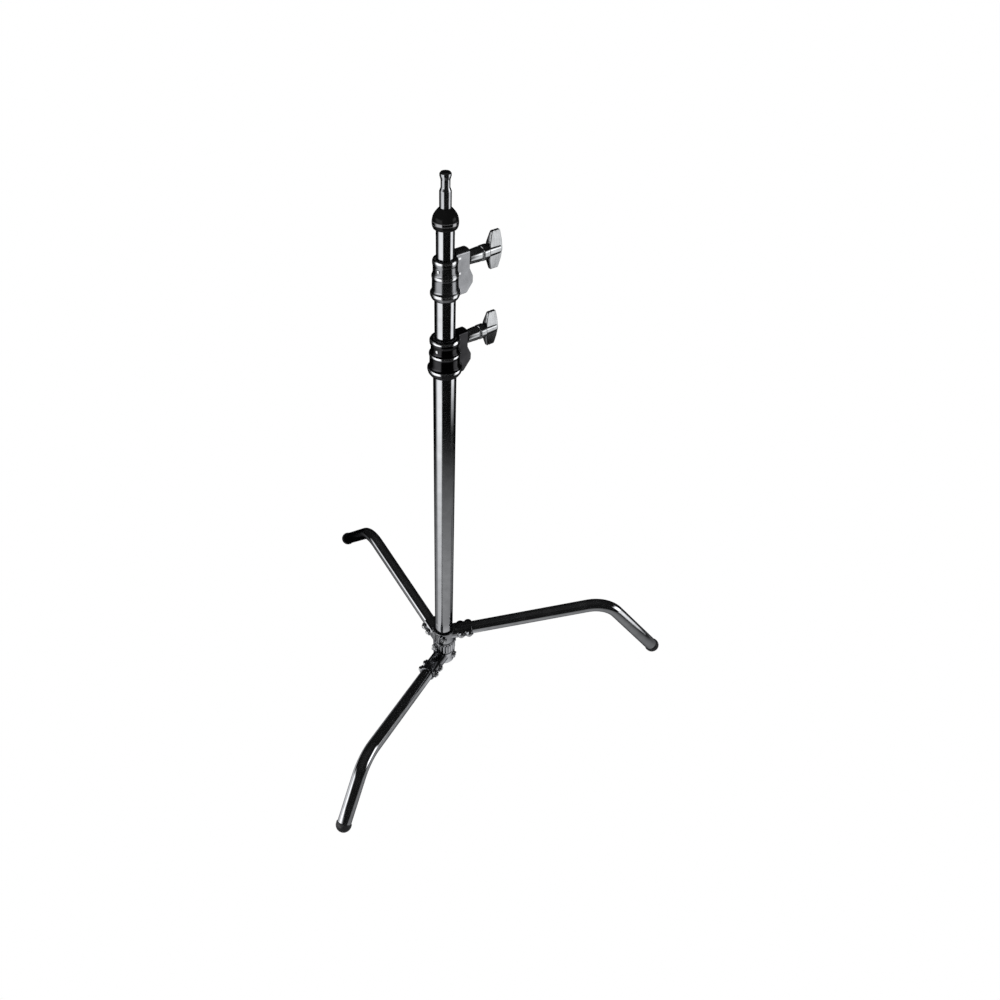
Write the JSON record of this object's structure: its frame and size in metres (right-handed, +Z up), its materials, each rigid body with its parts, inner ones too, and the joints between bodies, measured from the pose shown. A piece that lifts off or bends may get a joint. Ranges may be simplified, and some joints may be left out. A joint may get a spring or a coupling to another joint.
{
  "type": "c stand",
  "caption": "Short light stand: telescoping column with two wing-knob collars, 16 mm spigot, and bent legs stacked on a spindle that swing together to store.",
  "frame": {"origin": "on the floor, on the column's axis", "axes": "+Z up along the column to the spigot; +X along the highest leg"},
  "size_m": [0.6714, 0.7815, 0.931],
  "materials": {
    "black_chrome": "smoked chrome plating on steel tube",
    "spigot_steel": "bright plated steel",
    "collar_satin": "satin dark plated casting",
    "collar_gloss": "gloss black plated casting",
    "hub_casting": "dark plated casting",
    "bolt_steel": "zinc plated steel",
    "hub_steel": "machined steel",
    "knob_plastic": "black moulded, slightly glossy",
    "liner_plastic": "black nylon",
    "bush_plastic": "natural acetal",
    "shoe_brass": "plain brass",
    "bumper_rubber": "gloss black rubber",
    "foot_rubber": "black rubber"
  },
  "bodies": {
    "base": {"column_tube": "black_chrome", "lower_collar": "collar_gloss", "lower_collar_liner": "liner_plastic", "lower_collar_rivets": "bolt_steel", "spindle": "hub_steel", "spindle_pin": "hub_steel", "hub_washers": "hub_steel", "base_nut": "hub_casting", "front_leg_casting": "hub_casting", "front_leg_tube": "black_chrome", "front_foot_cap": "foot_rubber", "front_clamp_bolts": "bolt_steel", "front_clamp_nuts": "bolt_steel", "front_plungers": "hub_steel"},
    "left_leg": {"left_leg_casting": "hub_casting", "left_leg_tube": "black_chrome", "left_foot_cap": "foot_rubber", "left_clamp_bolts": "bolt_steel", "left_clamp_nuts": "bolt_steel", "left_plungers": "hub_steel"},
    "right_leg": {"right_leg_casting": "hub_casting", "right_leg_tube": "black_chrome", "right_foot_cap": "foot_rubber", "right_clamp_bolts": "bolt_steel", "right_clamp_nuts": "bolt_steel", "right_plungers": "hub_steel"},
    "riser_1_slider": {"riser_1_bush": "bush_plastic"},
    "riser_1": {"riser_1_tube": "black_chrome", "upper_collar": "collar_satin", "upper_collar_liner": "liner_plastic", "upper_collar_rivets": "bolt_steel"},
    "riser_2_slider": {"riser_2_bush": "bush_plastic"},
    "riser_2": {"riser_2_tube": "black_chrome", "spigot": "spigot_steel", "spigot_pin": "hub_steel", "top_bumper": "bumper_rubber"},
    "lower_brake": {"lower_brake_shoe": "shoe_brass"},
    "lower_hand_knob": {"lower_knob": "knob_plastic", "lower_knob_screw": "bolt_steel"},
    "upper_brake": {"upper_brake_shoe": "shoe_brass"},
    "upper_hand_knob": {"upper_knob": "knob_plastic", "upper_knob_screw": "bolt_steel"}
  },
  "joints": [
    {"name": "left_leg_swing", "type": "hinge", "parent": "base", "child": "left_leg", "pos_m": [0, 0, 0.054], "axis": [0, 0, 1], "range_deg": [0, 112]},
    {"name": "right_leg_swing", "type": "hinge", "parent": "base", "child": "right_leg", "pos_m": [0, 0, 0.0835], "axis": [0, 0, 1], "range_deg": [-110, 0]},
    {"name": "riser_1_slide", "type": "slide", "parent": "base", "child": "riser_1_slider", "axis": [0, 0, 1], "range_m": [-0.045, 0.385]},
    {"name": "riser_1_turn", "type": "hinge", "parent": "riser_1_slider", "child": "riser_1", "pos_m": [0, 0, 0.2], "axis": [0, 0, 1], "continuous": true},
    {"name": "riser_2_slide", "type": "slide", "parent": "riser_1", "child": "riser_2_slider", "axis": [0, 0, 1], "range_m": [-0.03, 0.385]},
    {"name": "riser_2_turn", "type": "hinge", "parent": "riser_2_slider", "child": "riser_2", "pos_m": [0, 0, 0.25], "axis": [0, 0, 1], "continuous": true},
    {"name": "lower_brake_travel", "type": "slide", "parent": "base", "child": "lower_brake", "axis": [0.829, 0.5592, 0], "range_m": [0, 0.0025]},
    {"name": "lower_knob_turn", "type": "hinge", "parent": "lower_brake", "child": "lower_hand_knob", "pos_m": [0, 0, 0.703], "axis": [0.829, 0.5592, 0], "range_deg": [0, 720]},
    {"name": "upper_brake_travel", "type": "slide", "parent": "riser_1", "child": "upper_brake", "axis": [0.829, 0.5592, 0], "range_m": [0, 0.0025]},
    {"name": "upper_knob_turn", "type": "hinge", "parent": "upper_brake", "child": "upper_hand_knob", "pos_m": [0, 0, 0.817], "axis": [0.829, 0.5592, 0], "range_deg": [0, 720]}
  ],
  "couplings": [
    {"joint": "lower_knob_turn", "follows": "lower_brake_travel", "rad_per_m": 5026.5},
    {"joint": "upper_knob_turn", "follows": "upper_brake_travel", "rad_per_m": 5026.5}
  ]
}
